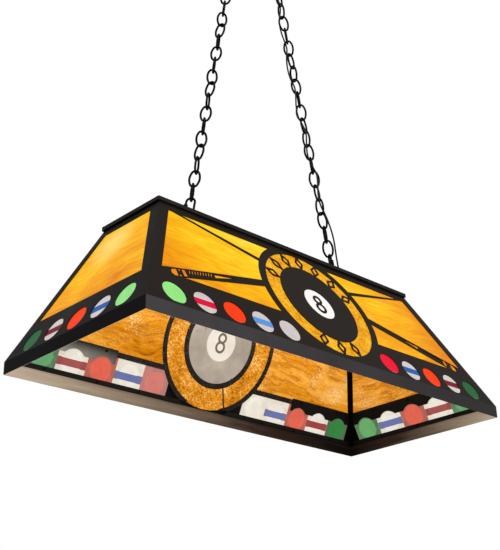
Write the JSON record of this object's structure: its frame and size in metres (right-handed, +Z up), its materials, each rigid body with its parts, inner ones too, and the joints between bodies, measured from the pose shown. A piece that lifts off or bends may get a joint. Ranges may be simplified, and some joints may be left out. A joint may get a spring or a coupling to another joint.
{
  "type": "pool table lamp",
  "caption": "Long four-sided pendant lamp for a billiard table: cut steel panels backed with art glass, hung by two chains from a ceiling canopy.",
  "frame": {"origin": "middle of the mounting crossbar's face against the ceiling", "axes": "+Z up, +X along the shade, the near long side faces -Y"},
  "size_m": [1.016, 0.442, 1.7],
  "materials": {
    "blackened_steel": "satin",
    "cap_steel": "satin",
    "dark_chain": "satin",
    "canopy_metal": "satin",
    "zinc": "satin",
    "brass": "satin",
    "amber_glass": "gloss",
    "ring_glass": "gloss",
    "opal_glass": "gloss",
    "light_green_glass": "gloss",
    "dark_green_glass": "gloss",
    "orange_glass": "gloss",
    "crimson_glass": "gloss",
    "white_glass": "gloss",
    "red_glass": "gloss",
    "blue_glass": "gloss",
    "lead": "satin",
    "ceramic": "satin",
    "bulb": "satin",
    "black_plastic": "matte",
    "cord_jacket": "satin",
    "wire_jacket": "satin"
  },
  "bodies": {
    "ceiling": {"ceiling_crossbar": "zinc", "stem_nipple": "brass", "stem_locknut": "brass", "terminal_block": "ceramic", "canopy_loop": "canopy_metal", "supply_cord_top": "cord_jacket"},
    "canopy": {"canopy": "canopy_metal", "canopy_ring_nut": "canopy_metal", "canopy_bushing": "black_plastic"},
    "ring": {"master_ring": "dark_chain"},
    "suspension": {"chain_left": "dark_chain", "chain_right": "dark_chain", "quick_link_left": "dark_chain", "quick_link_right": "dark_chain", "supply_cord": "cord_jacket"},
    "sleeve_left": {"link_sleeve_left": "dark_chain"},
    "sleeve_right": {"link_sleeve_right": "dark_chain"},
    "lamp": {"amber_glass_ends": "amber_glass", "amber_glass_long": "amber_glass", "ball_glass_blue": "blue_glass", "ball_glass_crimson": "crimson_glass", "ball_glass_dark_green": "dark_green_glass", "ball_glass_light_green": "light_green_glass", "ball_glass_orange": "orange_glass", "ball_glass_red": "red_glass", "ball_glass_white": "white_glass", "cap_bushing": "black_plastic", "channel_screws": "zinc", "channel_wires": "wire_jacket", "corner_angles": "blackened_steel", "eye_bolts": "dark_chain", "eye_nuts": "dark_chain", "eye_washers": "dark_chain", "glass_retainers": "blackened_steel", "hanger_straps": "blackened_steel", "junction_block": "ceramic", "lead_seams": "lead", "numerals": "blackened_steel", "opal_discs": "opal_glass", "panel_back": "blackened_steel", "panel_front": "blackened_steel", "panel_left": "blackened_steel", "panel_right": "blackened_steel", "retainer_screws": "zinc", "ring_glass": "ring_glass", "skirt_back": "blackened_steel", "skirt_front": "blackened_steel", "skirt_left": "blackened_steel", "skirt_right": "blackened_steel", "socket_1": "ceramic", "socket_2": "ceramic", "socket_3": "ceramic", "socket_channel": "blackened_steel", "socket_nipples": "brass", "socket_shells": "brass", "supply_cord_inlet": "cord_jacket", "top_cap": "cap_steel"},
    "bulb_a": {"bulb_1": "bulb"},
    "bulb_b": {"bulb_2": "bulb"},
    "bulb_c": {"bulb_3": "bulb"}
  },
  "joints": [
    {"name": "canopy_drop", "type": "slide", "parent": "ceiling", "child": "canopy", "axis": [0, 0, -1], "range_m": [0, 0.024]},
    {"name": "ring_swing", "type": "hinge", "parent": "ceiling", "child": "ring", "pos_m": [0, 0, -0.08706], "axis": [1, 0, 0], "range_deg": [-12, 12], "deforming": ["supply_cord_top"]},
    {"name": "side_swing", "type": "hinge", "parent": "ring", "child": "suspension", "pos_m": [0, 0, -0.13], "axis": [0, 1, 0], "range_deg": [-10, 10]},
    {"name": "lamp_tilt", "type": "hinge", "parent": "suspension", "child": "lamp", "pos_m": [0, 0, -1.348], "axis": [1, 0, 0], "range_deg": [-20, 20]},
    {"name": "sleeve_left_slide", "type": "slide", "parent": "suspension", "child": "sleeve_left", "axis": [-0.1824, 0.0073, -0.9832], "range_m": [0, 0.01]},
    {"name": "sleeve_right_slide", "type": "slide", "parent": "suspension", "child": "sleeve_right", "axis": [0.1824, -0.0073, -0.9832], "range_m": [0, 0.01]},
    {"name": "bulb_a_out", "type": "slide", "parent": "lamp", "child": "bulb_a", "axis": [0, 0, -1], "range_m": [0, 0.025]},
    {"name": "bulb_b_out", "type": "slide", "parent": "lamp", "child": "bulb_b", "axis": [0, 0, -1], "range_m": [0, 0.025]},
    {"name": "bulb_c_out", "type": "slide", "parent": "lamp", "child": "bulb_c", "axis": [0, 0, -1], "range_m": [0, 0.025]}
  ]
}
